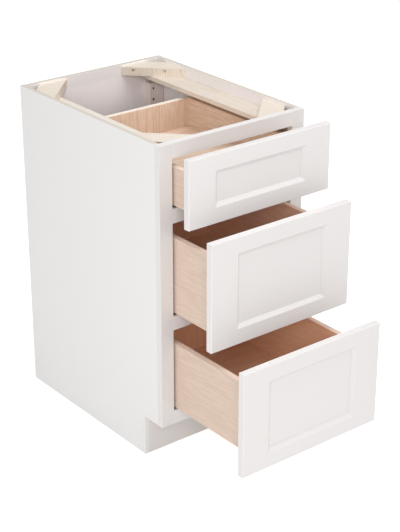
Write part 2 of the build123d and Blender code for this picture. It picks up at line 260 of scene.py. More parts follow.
# %% The plywood layer group
USUAL_LAYER = 2.6 * MM
WAVER_SCALE = 14.0
WAVER_HEIGHT = 0.6 * MM
LAYER_CHANGE = (0.35, 0.65)
GLUE_MIDDLE = 0.5
GLUE_REACH = 0.12
layers = GroupBuilder(
    "plywood_layers",
    [
        ("Vector", "NodeSocketVector", None),
        ("Across", "NodeSocketVector", (1.0, 0.0, 0.0)),
        ("Start", "NodeSocketFloat", 0.0),
        ("Layer", "NodeSocketFloat", USUAL_LAYER),
    ],
    ["Dark layer", "Glue"],
)
depth = layers.vector("DOT_PRODUCT", layers.given("Vector"), layers.given("Across"), "Value")
unevenness = layers.noise(layers.given("Vector"), WAVER_SCALE, detail=2.0)
waver = layers.math("MULTIPLY", unevenness, WAVER_HEIGHT)
from_face = layers.math("ADD", layers.math("SUBTRACT", depth, layers.given("Start")), waver)
pair = layers.math("PINGPONG", layers.math("DIVIDE", from_face, layers.given("Layer")), 1.0)
layers.give("Dark layer", layers.spread(pair, *LAYER_CHANGE))
from_joint = layers.math("ABSOLUTE", layers.math("SUBTRACT", pair, GLUE_MIDDLE))
layers.give("Glue", layers.math("SUBTRACT", 1.0, layers.spread(from_joint, 0.0, GLUE_REACH)))
print("group:", layers.tree.name)

# %% [markdown]
# ### Coat skin
# A sprayed or moulded surface isn't quite flat: it has a faint orange peel, its tone drifts over
# a panel, and hands leave some patches duller. One group gives the drift, the patches and the
# height of the peel.

# %% The coat skin group
USUAL_PEEL = 2 * MM
DRIFT_SCALE = 3.0
PATCH_SCALE = 11.0
CLOUD_RANGE = (0.3, 0.7)
skin = GroupBuilder(
    "coat_skin",
    [("Vector", "NodeSocketVector", None), ("Peel size", "NodeSocketFloat", USUAL_PEEL)],
    ["Tone", "Sheen", "Height"],
)
peel_scale = skin.math("DIVIDE", 1.0, skin.given("Peel size"))
skin.give("Height", skin.noise(skin.given("Vector"), peel_scale, detail=2.0))
drift = skin.noise(skin.given("Vector"), DRIFT_SCALE, detail=2.0)
skin.give("Tone", skin.spread(drift, *CLOUD_RANGE))
patches = skin.noise(skin.given("Vector"), PATCH_SCALE, detail=4.0, roughness=0.6)
skin.give("Sheen", skin.spread(patches, *CLOUD_RANGE))
print("group:", skin.tree.name)

# %% [markdown]
# ### Edge wear
# Where boards are handled, the sharpest edges go a little paler on paint and a little darker on
# bare wood. The renderer knows how sharply a surface bends at each point. This group turns that
# into a mask, broken up by noise so that it isn't an even line.

# %% The edge wear group
HARDLY_BENT = 0.52
USUAL_REACH = 0.06
RUB_SCALE = 70.0
RUB_RANGE = (0.35, 0.65)
wear = GroupBuilder(
    "edge_wear",
    [("Vector", "NodeSocketVector", None), ("Reach", "NodeSocketFloat", USUAL_REACH)],
    ["Edge"],
)
bend = wear.tree.nodes.new("ShaderNodeNewGeometry").outputs["Pointiness"]
sharp = wear.spread(bend, HARDLY_BENT, wear.math("ADD", HARDLY_BENT, wear.given("Reach")))
patchy = wear.spread(wear.noise(wear.given("Vector"), RUB_SCALE, detail=4.0), *RUB_RANGE)
wear.give("Edge", wear.math("MULTIPLY", sharp, patchy))
print("group:", wear.tree.name)

# %% [markdown]
# ## Finishes
# Every material follows one pattern: object coordinates go into one or two of the groups above,
# their numbers mix two or three colours, and the same numbers move the roughness and a small
# bump. Object coordinates are in metres here, because no piece is scaled, so all pattern sizes
# are real sizes.

# %% A short way to build materials


class Finish(GroupBuilder):
    """A material under construction, with a Principled shader to feed."""

    def __init__(self, name, roughness, metallic=0.0):
        self.material = bpy.data.materials.new(name)
        self.material.use_nodes = True
        self.tree = self.material.node_tree
        self.shader = self.tree.nodes["Principled BSDF"]
        self.shader.inputs["Roughness"].default_value = roughness
        self.shader.inputs["Metallic"].default_value = metallic
        self.place = self.tree.nodes.new("ShaderNodeTexCoord").outputs["Object"]

    def group(self, builder, **values):
        node = self.tree.nodes.new("ShaderNodeGroup")
        node.node_tree = builder.tree
        self.put(node.inputs["Vector"], self.place)
        for label, value in values.items():
            self.put(node.inputs[label.replace("_", " ")], value)
        return node.outputs

    def mix(self, amount, first, second):
        """Mix two colours, each given as a socket or as red, green and blue."""
        node = self.tree.nodes.new("ShaderNodeMix")
        node.data_type = "RGBA"
        self.put(node.inputs["Factor"], amount)
        for label, colour in (("A", first), ("B", second)):
            socket = next(s for s in node.inputs if s.name == label and s.type == "RGBA")
            self.put(socket, (*colour, 1) if isinstance(colour, tuple) else colour)
        return next(s for s in node.outputs if s.type == "RGBA")

    def colour(self, value):
        self.put(self.shader.inputs["Base Color"], value)

    def roughness(self, amount, at_zero, at_one):
        """Let a 0 to 1 number move the roughness between two values."""
        node = self.tree.nodes.new("ShaderNodeMapRange")
        self.put(node.inputs["Value"], amount)
        node.inputs["To Min"].default_value = at_zero
        node.inputs["To Max"].default_value = at_one
        self.put(self.shader.inputs["Roughness"], node.outputs["Result"])

    def bump(self, height, distance):
        node = self.tree.nodes.new("ShaderNodeBump")
        node.inputs["Distance"].default_value = distance
        self.put(node.inputs["Height"], height)
        self.put(self.shader.inputs["Normal"], node.outputs["Normal"])


print("finish builder ready")

# %% [markdown]
# ### The floor
# The floor is plain pale paint. In the picture it is pure white, with only a thin line of shadow
# under the cabinet. A second lamp on the floor would wash out the shadow but also light the
# cabinet from below. Light Path tells whether a ray comes straight from the camera, so the floor
# glows for such rays, and only faintly for the light that it sends on to the cabinet. It reaches
# 60 metres to every side, so that its end stays out of low views.

# %% Lay the floor
FLOOR_REACH = 60.0
FLOOR_GLOW = 0.62
FLOOR_UPLIGHT = 0.12
FLOOR_DARK = (0.90, 0.90, 0.90)
FLOOR_LIGHT = (0.91, 0.91, 0.91)
floor_shape = bmesh.new()
bmesh.ops.create_grid(floor_shape, x_segments=1, y_segments=1, size=FLOOR_REACH)
floor_mesh = bpy.data.meshes.new("studio_floor")
floor_shape.to_mesh(floor_mesh)
floor_shape.free()
floor = bpy.data.objects.new("studio_floor", floor_mesh)
scene.collection.objects.link(floor)

floor_finish = Finish("pale_floor_paint", roughness=0.8)
floor_coat = floor_finish.group(skin, Peel_size=3 * MM)
floor_tone = floor_finish.mix(floor_coat["Tone"], FLOOR_DARK, FLOOR_LIGHT)
floor_finish.colour(floor_tone)
seen_directly = floor_finish.tree.nodes.new("ShaderNodeLightPath").outputs["Is Camera Ray"]
uplight, shown = (FLOOR_UPLIGHT,) * 3, (FLOOR_GLOW,) * 3
glow = floor_finish.mix(seen_directly, uplight, shown)
floor_finish.put(floor_finish.shader.inputs["Emission Color"], glow)
floor_finish.shader.inputs["Emission Strength"].default_value = 1.0
floor.data.materials.append(floor_finish.material)
print("floor:", floor.name)

# %% [markdown]
# ### White cabinet paint
# The whole outside has a smooth satin paint. It is a factory finish, so its tone hardly drifts,
# and its peel is only a few thousandths of a millimetre high. The sides are nearly neutral, and
# the frame and the drawer fronts, which are painted in the piece, are a little warmer. Their paint
# is also darker than the sides', which is painted shade. The rails of the frame get a lighter copy
# of it, which is painted light that lifts the shade the drawers cast on the rails.

# %% White paints
PAINT_RUBBED = (0.86, 0.85, 0.84)
PAINT_WEAR = 0.5
PAINT_PEEL = 0.004 * MM


def make_paint(name, light, shade):
    paint = Finish(name, roughness=0.42)
    coat = paint.group(skin, Peel_size=4 * MM)
    worn = paint.math("MULTIPLY", paint.group(wear)["Edge"], PAINT_WEAR)
    paint.colour(paint.mix(worn, paint.mix(coat["Tone"], shade, light), PAINT_RUBBED))
    paint.roughness(coat["Sheen"], at_zero=0.40, at_one=0.46)
    paint.bump(coat["Height"], PAINT_PEEL)
    return paint.material


side_paint = make_paint("side_panel_paint", (0.820, 0.815, 0.803), (0.815, 0.810, 0.798))
# The front paint is darker than the side paint as painted shade, and the rail paint is lighter than the
# front paint as painted light.
front_paint_painted_shade = make_paint("frame_and_front_paint", (0.765, 0.743, 0.736), (0.761, 0.739, 0.731))
rail_paint_painted_light = make_paint("rail_paint_painted_light", (0.788, 0.766, 0.758), (0.784, 0.761, 0.753))
print("paints:", side_paint.name, front_paint_painted_shade.name, rail_paint_painted_light.name)

# %% [markdown]
# ### Lining of the case
# Inside, the panels have a printed lining in a mauve grey, matt and very even, with the faint
# upright streak of a maple print. Above the ledges the lining turns darker with height. Below
# them, near the face frame, it turns to a brown wood tone: painted shade, which stands in for the
# warm shade in the gap beside each drawer.

# %% Grey lining
LINING_LIGHT = (0.940, 0.880, 0.873)
LINING_DARK = (0.918, 0.858, 0.851)
BATTEN_LIGHT = (0.86, 0.76, 0.72)
BATTEN_DARK = (0.82, 0.71, 0.67)
UPRIGHT = (22.0, 22.0, 1.0)
LEDGE_HEIGHTS = (835 * MM, 850 * MM)
ABOVE_LEDGE_DARKENING = 0.35
ABOVE_LEDGE_TONE = (0.76, 0.74, 0.72)
# Near the face frame, below the ledges, the lining is painted a brown wood tone as the shade of the gap
# beside the drawers.
GAP_SHADE_FROM = (528 * MM, 532 * MM)
GAP_SHADE_TONES = ((0.94, 0.69, 0.49), (0.86, 0.58, 0.39))
LINING_PEEL = 0.02 * MM


def make_lining(name, light, dark):
    lining = Finish(name, roughness=0.5)
    print_figure = lining.group(figure, Squeeze=UPRIGHT)
    coat = lining.group(skin, Peel_size=0.9 * MM)
    height = lining.vector("DOT_PRODUCT", lining.place, (0, 0, 1), "Value")
    above_ledge = lining.spread(height, *LEDGE_HEIGHTS)
    # Above the ledges the lining is mixed towards a darker tone.
    darker_above_ledge = lining.math("MULTIPLY", above_ledge, ABOVE_LEDGE_DARKENING)
    printed = lining.mix(print_figure["Band"], light, dark)
    upper = lining.mix(darker_above_ledge, printed, ABOVE_LEDGE_TONE)
    # Painted shade: a brown wood tone near the face frame, below the ledges.
    forward = lining.vector("DOT_PRODUCT", lining.place, (0, -1, 0), "Value")
    at_frame = lining.spread(forward, *GAP_SHADE_FROM)
    painted_gap_shade = lining.math("MULTIPLY", at_frame, lining.math("SUBTRACT", 1.0, above_ledge))
    lining.colour(lining.mix(painted_gap_shade, upper, lining.mix(print_figure["Band"], *GAP_SHADE_TONES)))
    lining.roughness(coat["Sheen"], at_zero=0.46, at_one=0.56)
    lining.bump(coat["Height"], LINING_PEEL)
    return lining.material


grey_lining = make_lining("grey_case_lining", LINING_LIGHT, LINING_DARK)
batten_lining = make_lining("batten_lining", BATTEN_LIGHT, BATTEN_DARK)
print("finishes:", grey_lining.name, batten_lining.name)

# %% [markdown]
# ### Bare wood
# The ledges, the blocks and the drawer boxes are clear-coated pale wood. One function makes every
# kind. It takes the colours of the figure and the direction of the grain, given as how much each
# axis is squeezed.

# %% Faces and edges of bare wood
ALONG_X = (1.0, 14.0, 14.0)
ALONG_Y = (14.0, 1.0, 14.0)
FINE_ALONG_Y = (24.0, 2.0, 24.0)
FINE_ALONG_Z = (24.0, 24.0, 2.0)
END_GRAIN = (48.0, 48.0, 4.0)
NO_GRAIN = (60.0, 60.0, 60.0)
SAWN_ENDS = (25.0, 25.0, 25.0)
WOOD_WEAR = 0.3
PORE_SHARE = 0.5
GLUE_SHARE = 0.4
SAWN_PORE_SHARE = 0.3
PORE_DEPTH = 0.06 * MM
SAWN_DEPTH = 0.08 * MM


def make_wood(name, light, dark, pore, squeeze, roughness=0.45):
    wood = Finish(name, roughness)
    grain = wood.group(figure, Squeeze=squeeze)
    worn = wood.math("MULTIPLY", wood.group(wear)["Edge"], WOOD_WEAR)
    pores = wood.math("MULTIPLY", grain["Pore"], PORE_SHARE)
    grained = wood.mix(pores, wood.mix(grain["Band"], dark, light), pore)
    wood.colour(wood.mix(worn, grained, dark))
    wood.roughness(grain["Band"], at_zero=roughness + 0.08, at_one=roughness - 0.04)
    wood.bump(grain["Height"], PORE_DEPTH)
    return wood.material


def make_layered_edge(name, colours, across, start, layer):
    """The striped edge of a plywood board, whose layers are counted along one axis."""
    light, dark, glue = colours
    edge = Finish(name, roughness=0.62)
    stripes = edge.group(layers, Across=across, Start=start, Layer=layer)
    ends = edge.group(figure, Squeeze=SAWN_ENDS)
    glue_lines = edge.math("MULTIPLY", stripes["Glue"], GLUE_SHARE)
    layered = edge.mix(glue_lines, edge.mix(stripes["Dark layer"], light, dark), glue)
    pores = edge.math("MULTIPLY", ends["Pore"], SAWN_PORE_SHARE)
    edge.colour(edge.mix(pores, layered, dark))
    edge.roughness(stripes["Dark layer"], at_zero=0.55, at_one=0.7)
    edge.bump(ends["Height"], SAWN_DEPTH)
    return edge.material


print("wood builders ready")

# %% [markdown]
# The ledges and blocks are a cool pale birch. The left ledge is lighter than the right one, as
# painted light that lifts the shade the left side casts on it. The outsides of the drawer boxes are
# pinker, and inside each box the clear coat is thicker and warmer. The two lower boxes are lighter
# and redder inside still, as painted light that lifts their deeper shade, with the red-brown of
# that shade painted in. The pockets in the blocks show freshly cut wood, made lighter still as
# painted light against the shade in them. The holes in the battens show a coarse brown board,
# painted darker as the shade inside them. Each finish has a light tone, a dark tone and the tone of
# its pores.

# %% The bare woods that the cabinet uses
block_face = make_wood(
    "block_face", (0.79, 0.72, 0.63), (0.73, 0.645, 0.545), (0.60, 0.49, 0.385), ALONG_X
)
# The left ledge's tones are lighter, as painted light against the shade that the left side casts on it.
LEDGE_WOODS_LEFT_PAINTED_LIGHT = {
    "left": ((0.81, 0.77, 0.70), (0.755, 0.70, 0.61), (0.63, 0.55, 0.45)),
    "right": ((0.725, 0.66, 0.58), (0.67, 0.592, 0.50), (0.55, 0.45, 0.355)),
}
ledge_faces = {}
for hand, colours in LEDGE_WOODS_LEFT_PAINTED_LIGHT.items():
    ledge_faces[hand] = make_wood(hand + "_ledge_face", *colours, ALONG_Y)
raw_panel = make_wood(
    "raw_panel", (0.76, 0.69, 0.61), (0.70, 0.62, 0.53), (0.57, 0.47, 0.37), ALONG_X
)
block_end_grain = make_wood(
    "block_end_grain", (0.82, 0.735, 0.64), (0.68, 0.58, 0.475), (0.48, 0.365, 0.255), END_GRAIN, 0.6
)
# The sawn-off corners of the blocks get a dark brown: painted shade of the dark gap in the corner.
corner_cut_painted_shade = make_wood(
    "corner_cut_painted_shade", (0.42, 0.33, 0.25), (0.24, 0.17, 0.12), (0.14, 0.09, 0.06), END_GRAIN, 0.6
)
# Pocket walls are lighter than the end grain around them: freshly cut wood, with painted light against
# the shade in the pockets.
pocket_wall_painted_light = make_wood(
    "pocket_wall_painted_light", (0.86, 0.77, 0.67), (0.76, 0.65, 0.54), (0.58, 0.46, 0.35), END_GRAIN, 0.7
)
# The walls of the battens' holes are dark brown: the board's own brown, darkened as painted shade
# inside the holes.
hole_wall_painted_shade = make_wood(
    "hole_wall_painted_shade", (0.30, 0.20, 0.14), (0.20, 0.13, 0.09), (0.12, 0.07, 0.05), NO_GRAIN, 0.8
)
box_outside = make_wood(
    "box_outside_maple", (0.715, 0.571, 0.475), (0.658, 0.499, 0.398), (0.53, 0.355, 0.26), FINE_ALONG_Y
)
BOX_INSIDES_AND_PAINTED_LIGHT = {
    "top_drawer": ((0.80, 0.635, 0.513), (0.655, 0.466, 0.343), (0.40, 0.21, 0.115)),
    # The middle and bottom tones are lighter and redder than the top one: painted light that lifts the
    # shade in those boxes, with the red-brown of that shade painted in.
    "middle_drawer": ((0.97, 0.67, 0.515), (0.93, 0.56, 0.385), (0.62, 0.28, 0.15)),
    "bottom_drawer": ((0.93, 0.615, 0.43), (0.885, 0.51, 0.325), (0.61, 0.27, 0.145)),
}
inside_upright, inside_along_y, inside_floor = {}, {}, {}
for drawer, colours in BOX_INSIDES_AND_PAINTED_LIGHT.items():
    inside_upright[drawer] = make_wood(drawer + "_inside_upright", *colours, FINE_ALONG_Z)
    inside_along_y[drawer] = make_wood(drawer + "_inside_along_y", *colours, FINE_ALONG_Y)
    inside_floor[drawer] = make_wood(drawer + "_inside_floor", *colours, ALONG_X)
print("woods:", len(bpy.data.materials))

# %% [markdown]
# The cut edges of plywood get a light layer, a dark layer and a glue line. The case is cut from
# greyer sheets than the drawers. The edges of the drawer boards are listed by drawer, and by board
# where one differs from its drawer. The right side of the top drawer has darker, redder edges,
# which are painted shade from the ledge that overhangs it.

# %% Tones of the plywood edges
CASE_EDGE = ((0.66, 0.62, 0.56), (0.61, 0.56, 0.49), (0.52, 0.46, 0.39))
LEDGE_EDGE = ((0.86, 0.78, 0.69), (0.71, 0.60, 0.49), (0.50, 0.39, 0.29))
PEACH_EDGE = ((0.94, 0.755, 0.655), (0.87, 0.64, 0.52), (0.56, 0.34, 0.23))
BOX_EDGES = {
    "top_drawer": ((0.92, 0.87, 0.80), (0.84, 0.75, 0.66), (0.60, 0.45, 0.34)),
    "top_drawer_left_side": ((0.86, 0.74, 0.64), (0.78, 0.64, 0.53), (0.55, 0.38, 0.27)),
    # Painted shade: darker, redder edges where the ledge shades the top drawer's right side.
    "top_drawer_right_side": ((0.84, 0.64, 0.50), (0.74, 0.50, 0.36), (0.48, 0.27, 0.16)),
    "middle_drawer": PEACH_EDGE,
    "bottom_drawer": PEACH_EDGE,
}
print("tones of drawer edges:", len(BOX_EDGES))

# %% [markdown]
# ### Metal and plastic
# The slides are zinc-plated sheet, drawn through rollers that leave fine lines along it. Screws
# are a little darker. The locking clips are grey moulded plastic with a darker lever, and the
# bumpers are a soft, nearly clear plastic.

# %% Zinc, plastic and bumper finishes
ZINC_BLOOM = 0.25
ZINC_LINES = 0.02 * MM
PLASTIC_WEAR = 0.4
PLASTIC_PEEL = 0.03 * MM


def make_zinc(name, light, dark, squeeze):
    zinc = Finish(name, roughness=0.35, metallic=1.0)
    drawn = zinc.group(figure, Squeeze=squeeze)
    bloom = zinc.group(skin, Peel_size=4 * MM)
    cloudy = zinc.math("MULTIPLY", bloom["Tone"], ZINC_BLOOM)
    zinc.colour(zinc.mix(cloudy, zinc.mix(drawn["Band"], dark, light), dark))
    zinc.roughness(bloom["Sheen"], at_zero=0.28, at_one=0.44)
    zinc.bump(drawn["Height"], ZINC_LINES)
    return zinc.material


def make_plastic(name, light, dark, roughness):
    plastic = Finish(name, roughness)
    coat = plastic.group(skin, Peel_size=0.7 * MM)
    worn = plastic.math("MULTIPLY", plastic.group(wear)["Edge"], PLASTIC_WEAR)
    plastic.colour(plastic.mix(worn, plastic.mix(coat["Tone"], dark, light), light))
    plastic.roughness(coat["Sheen"], at_zero=roughness - 0.06, at_one=roughness + 0.08)
    plastic.bump(coat["Height"], PLASTIC_PEEL)
    return plastic.material


DRAWN_ALONG_Y = (40.0, 0.5, 40.0)
drawn_zinc = make_zinc("drawn_zinc", (0.66, 0.655, 0.65), (0.53, 0.525, 0.52), DRAWN_ALONG_Y)
screw_zinc = make_zinc("screw_zinc", (0.58, 0.57, 0.54), (0.44, 0.43, 0.41), NO_GRAIN)
clip_plastic = make_plastic("grey_clip_plastic", (0.34, 0.34, 0.35), (0.27, 0.27, 0.28), 0.45)
lever_plastic = make_plastic("dark_lever_plastic", (0.12, 0.12, 0.125), (0.09, 0.09, 0.095), 0.4)
bumper_plastic = make_plastic("clear_bumper_plastic", (0.80, 0.80, 0.78), (0.72, 0.72, 0.70), 0.25)
print("finishes:", len(bpy.data.materials))

# %% [markdown]
# ## Boards with softened edges
# A saw and a sander never leave a perfect corner: each edge has a radius of a third of a
# millimetre or more, and that thin line of light is what makes a board look solid. The packed
# mesh has sharp edges, and it mustn't be changed, so each board is a copy. Its triangles are
# welded and joined into whole faces first, because a bevel needs the real edges only. How sharply
# a surface bends is stored in its corners, so each broad face gets a ring of new corners just
# inside its edge. Without it the wear of the edges would spread over the whole face.

# %% Copy a node and soften its edges
WELD = 1e-6
FLAT_ANGLE = radians(1)
EDGE_ANGLE = radians(25)
BROAD = 4 * MM
RING = 0.6 * MM


def whole_faces(node):
    """A bmesh of a CAD node, welded, with its flat faces whole."""
    shape = bmesh.new()
    shape.from_mesh(frame["nodes"][node].data)
    bmesh.ops.remove_doubles(shape, verts=shape.verts, dist=WELD)
    bmesh.ops.dissolve_limit(
        shape, angle_limit=FLAT_ANGLE, verts=shape.verts, edges=shape.edges, delimit=set()
    )
    shape.normal_update()
    return shape


def round_over(shape, edges, radius, segments):
    """Round some edges of a shape."""
    bmesh.ops.bevel(
        shape,
        geom=edges,
        offset=radius,
        offset_type="OFFSET",
        segments=segments,
        profile=0.5,
        affect="EDGES",
        clamp_overlap=True,
        material=-1,
    )
    shape.normal_update()


def is_broad(face):
    """Whether a face is wide, and whole: a flat edge means that it was split around a hole."""
    width = face.calc_area() / max(edge.calc_length() for edge in face.edges)
    return width > BROAD and all(edge.calc_face_angle(0) > FLAT_ANGLE for edge in face.edges)


def ring_broad_faces(shape):
    """Add a narrow ring inside each broad face, which keeps the wear of its edges off its middle."""
    broad = [face for face in shape.faces if is_broad(face)]
    bmesh.ops.inset_individual(shape, faces=broad, thickness=RING)


def real_edges(shape):
    """The edges where two faces meet at more than a slight angle."""
    return [e for e in shape.edges if e.is_manifold and e.calc_face_angle() > EDGE_ANGLE]


print("edge helpers ready")

# %% [markdown]
# ### A board that stands in for its node
# A finished bmesh becomes an object with its materials, and it is told which body it rides on, so
# that it moves with its drawer. Every board is made in the same steps: copy the node, round its
# edges, ring its broad faces. So one function takes them all, and the new board then replaces
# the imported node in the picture.

# %% Make pieces and boards
CREASE_ANGLE = radians(40)


def make_piece(shape, name, body, materials, chooser=None, smooth=False):
    """Turn a bmesh into a named piece with its materials, riding on a body."""
    mesh = bpy.data.meshes.new(name)
    for face in shape.faces:
        face.smooth = smooth
        if chooser:
            face.material_index = chooser(face)
    shape.to_mesh(mesh)
    shape.free()
    for material in materials:
        mesh.materials.append(material)
    if smooth:
        mesh.set_sharp_from_angle(angle=CREASE_ANGLE)
    piece = bpy.data.objects.new(name, mesh)
    scene.collection.objects.link(piece)
    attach(piece, body)
    return piece


def board(node, materials, chooser=None, radius=0.4 * MM, segments=2, first=None):
    """A softened copy of a CAD node, which it replaces.

    First, if given, is a function that rounds some edges of the shape more than the rest.
    """
    shape = whole_faces(node)
    edges = real_edges(shape)
    if first:
        edges = first(shape, edges)
    round_over(shape, edges, radius, segments)
    ring_broad_faces(shape)
    piece = make_piece(
        shape, node + "_board", body_of_node[node], materials, chooser
    )
    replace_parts(piece, node)
    return piece


print("board helpers ready")

# %% [markdown]
# ### Which face gets which finish
# A plywood board has two broad faces and striped edges, and a case panel is painted outside and
# lined inside. A chooser looks at which way a face points and picks the material's number.

# %% Choosers for flat boards
MOSTLY = 0.5


def faces_then_edges(axis):
    """0 for the broad faces, which look along an axis, and 1 for the edges."""
    return lambda face: 0 if abs(face.normal[axis]) > MOSTLY else 1


def outside_inside_edges(axis, outward):
    """0 for the face that looks outward along an axis, 1 for the one inward, 2 for the edges."""

    def choose(face):
        facing = face.normal[axis] * outward
        return 0 if facing > MOSTLY else 1 if facing < -MOSTLY else 2

    return choose


def side_panel_chooser(outward):
    """As for a board with an outside and an inside, but its front edges are painted too."""
    choose = outside_inside_edges(0, outward)
    return lambda face: 0 if face.normal.y < -MOSTLY else choose(face)


print("choosers for flat boards ready")

# %% [markdown]
# The walls of a hole or a pocket lie well inside the box around their board, which tells them
# apart from its outside. On a corner block, the slanted face that the screws go into looks
# equally far along both walls, and the corner that the saw took off looks into the corner of the
# case.

# %% Choosers for boards with holes
SAWN_OFF = 1.3
SQUARE_CUT = 0.01
WELL_INSIDE = 1 * MM


def drilled(face, box):
    """Whether a face lies well inside its node's box, as the wall of a hole does."""
    middle, (low, high) = face.calc_center_median(), box
    return all(low[a] + WELL_INSIDE < middle[a] < high[a] - WELL_INSIDE for a in range(3))


def batten_chooser(node):
    """0 for the outside of a batten, and 1 for the walls of its holes."""
    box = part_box(node)
    return lambda face: 1 if drilled(face, box) else 0


def block_chooser(node, outward, inward):
    """0 for broad faces, 1 for end grain, 2 where the corner is sawn off, 3 in the pockets."""
    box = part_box(node)

    def choose(face):
        across, along = face.normal.x * outward, -face.normal.y * inward
        sloped_off = abs(abs(across) - abs(along)) < SQUARE_CUT
        if drilled(face, box) and not sloped_off:
            return 3
        return 2 if across + along > SAWN_OFF else 0 if abs(face.normal.z) > MOSTLY else 1

    return choose


print("choosers for boards with holes ready")

# %% [markdown]
# ### The case
# The sides are painted outside and lined inside, and their top edges show bare plywood, as does
# the back's. The stripes start at the board's own face, so each edge material is told where that
# face lies.

# %% Sides, back, floor and toe kick
AXES = ((1, 0, 0), (0, 1, 0), (0, 0, 1))
CASE_LAYER = 2.1 * MM


def layered_edge(node, axis, colours, layer):
    """An edge material whose stripes start at the low face of a node."""
    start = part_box(node)[0][axis]
    return make_layered_edge(node + "_edge", colours, AXES[axis], start, layer)


for hand, outward in HANDS:
    node = hand + "_side_panel"
    edge = layered_edge(node, 0, CASE_EDGE, CASE_LAYER)
    board(node, [side_paint, grey_lining, edge], side_panel_chooser(outward))
back_edge = layered_edge("back_panel", 1, CASE_EDGE, CASE_LAYER)
board("back_panel", [raw_panel, grey_lining, back_edge], outside_inside_edges(1, 1))
floor_edge = layered_edge("floor_panel", 2, CASE_EDGE, CASE_LAYER)
board("floor_panel", [grey_lining, floor_edge], faces_then_edges(2))
board("toe_kick_board", [front_paint_painted_shade])
print("case boards made")

# %% [markdown]
# ### The face frame
# The frame is solid wood, sanded flat after glueing and then painted, so its joints hardly show.
# Its corners are crisper than those of the drawer fronts.

# %% Stiles and rails of the frame
FRAME_STILES = ("left_stile", "right_stile")
FRAME_RAILS = ("top_rail", "upper_mid_rail", "lower_mid_rail", "bottom_rail")
# The rails take the lighter paint, as painted light against the shade of the drawers.
for nodes, paint in ((FRAME_STILES, front_paint_painted_shade), (FRAME_RAILS, rail_paint_painted_light)):
    for node in nodes:
        board(node, [paint], radius=0.3 * MM)
print("frame members:", len(FRAME_STILES) + len(FRAME_RAILS))

# %% [markdown]
# ### Ledges, blocks and battens
# The ledges are bare plywood. The corner blocks are sawn from solid wood, so their slanted faces
# cut across the grain and show it as short upright streaks. Where their corners are cut off, the
# face is painted a dark brown, which is painted shade. The battens in the back corners are lined
# like the case, and their holes show the brown board inside, painted darker as the shade inside the
# holes.

# %% Ledges, blocks and battens
LEDGE_LAYER = 2.1 * MM
for hand, outward in HANDS:
    node = hand + "_top_ledge"
    edge = layered_edge(node, 2, LEDGE_EDGE, LEDGE_LAYER)
    board(node, [ledge_faces[hand], edge], faces_then_edges(2))
    batten = hand + "_slide_batten"
    board(batten, [batten_lining, hole_wall_painted_shade], batten_chooser(batten))
    for end, inward in (("front", 1), ("back", -1)):
        block = f"{end}_{hand}_corner_block"
        finishes = [block_face, block_end_grain, corner_cut_painted_shade, pocket_wall_painted_light]
        board(block, finishes, block_chooser(block, outward, inward), radius=0.6 * MM)
print("ledges, blocks and battens made")

# %% [markdown]
# ### Drawer boxes
# Each box has four plywood boards and a thin bottom. The boards' top edges are rounded over with
# a small cutter, so that they feel smooth to the hand. The other edges are only sanded.

# %% Drawer boxes
BOX_LAYER = 3.975 * MM
TOP_ROUND = 1.6 * MM
LONG_EDGE = 50 * MM


def round_top_edges(shape, edges):
    """Round over the long edges of a board's top, and return the others."""
    top = max(vert.co.z for vert in shape.verts) - WELD
    at_top = [e for e in edges if min(v.co.z for v in e.verts) > top]
    long_ones = [e for e in at_top if e.calc_length() > LONG_EDGE]
    round_over(shape, long_ones, TOP_ROUND, segments=4)
    return [e for e in real_edges(shape) if max(v.co.z for v in e.verts) < top - TOP_ROUND]


for drawer in DRAWERS:
    for hand, outward in HANDS:
        node = f"{drawer}_{hand}_side"
        edge = layered_edge(node, 0, BOX_EDGES.get(node, BOX_EDGES[drawer]), BOX_LAYER)
        finishes = [box_outside, inside_along_y[drawer], edge]
        board(node, finishes, outside_inside_edges(0, outward), first=round_top_edges)
    for part, outward in (("box_front", -1), ("box_back", 1)):
        node = f"{drawer}_{part}"
        edge = layered_edge(node, 1, BOX_EDGES[drawer], BOX_LAYER)
        finishes = [box_outside, inside_upright[drawer], edge]
        board(node, finishes, outside_inside_edges(1, outward), first=round_top_edges)
    bottom = drawer + "_bottom"
    edge = layered_edge(bottom, 2, BOX_EDGES[drawer], CASE_LAYER)
    board(bottom, [inside_floor[drawer], raw_panel, edge], outside_inside_edges(2, 1))
print("drawer boxes:", len(DRAWERS))

# %% [markdown]
# ### Drawer fronts
# The fronts are framed: two stiles, two rails coped over their slopes, and a flat panel. Their
# outer edges are eased more than the frame's.

# %% Drawer fronts
for drawer in DRAWERS:
    for part in ("front_stiles", "front_rails"):
        board(f"{drawer}_{part}", [front_paint_painted_shade], radius=0.35 * MM, segments=3)
    board(drawer + "_front_panel", [front_paint_painted_shade])
print("drawer fronts:", len(DRAWERS))

# %% [markdown]
# ### Slides
# The rails are bent from sheet steel, so the outside of every bend is round, with a radius near
# the thickness of the sheet, while the cut edges stay crisp. A bend is a sharp edge along the
# rail whose two faces are both more than twice as wide as the sheet is thick.

# %% Slides and brackets
SHEET = 1.5 * MM
BEND_ROUND = 1.3 * MM


def round_bends(shape, edges):
    """Round the outside of each bend of a folded rail, and return the cut edges."""

    def is_bend(edge):
        length = edge.calc_length()
        wide = all(face.calc_area() / length > 2 * SHEET for face in edge.link_faces)
        return edge.is_convex and length > LONG_EDGE and wide

    round_over(shape, [edge for edge in edges if is_bend(edge)], BEND_ROUND, segments=3)
    return [edge for edge in real_edges(shape) if edge.is_convex]


for drawer in DRAWERS:
    for part in ("cabinet_rails", "centre_rails", "slide_rails"):
        board(f"{drawer}_{part}", [drawn_zinc], radius=0.2 * MM, first=round_bends)
board("rear_slide_brackets", [drawn_zinc], radius=0.4 * MM)
print("slides made")

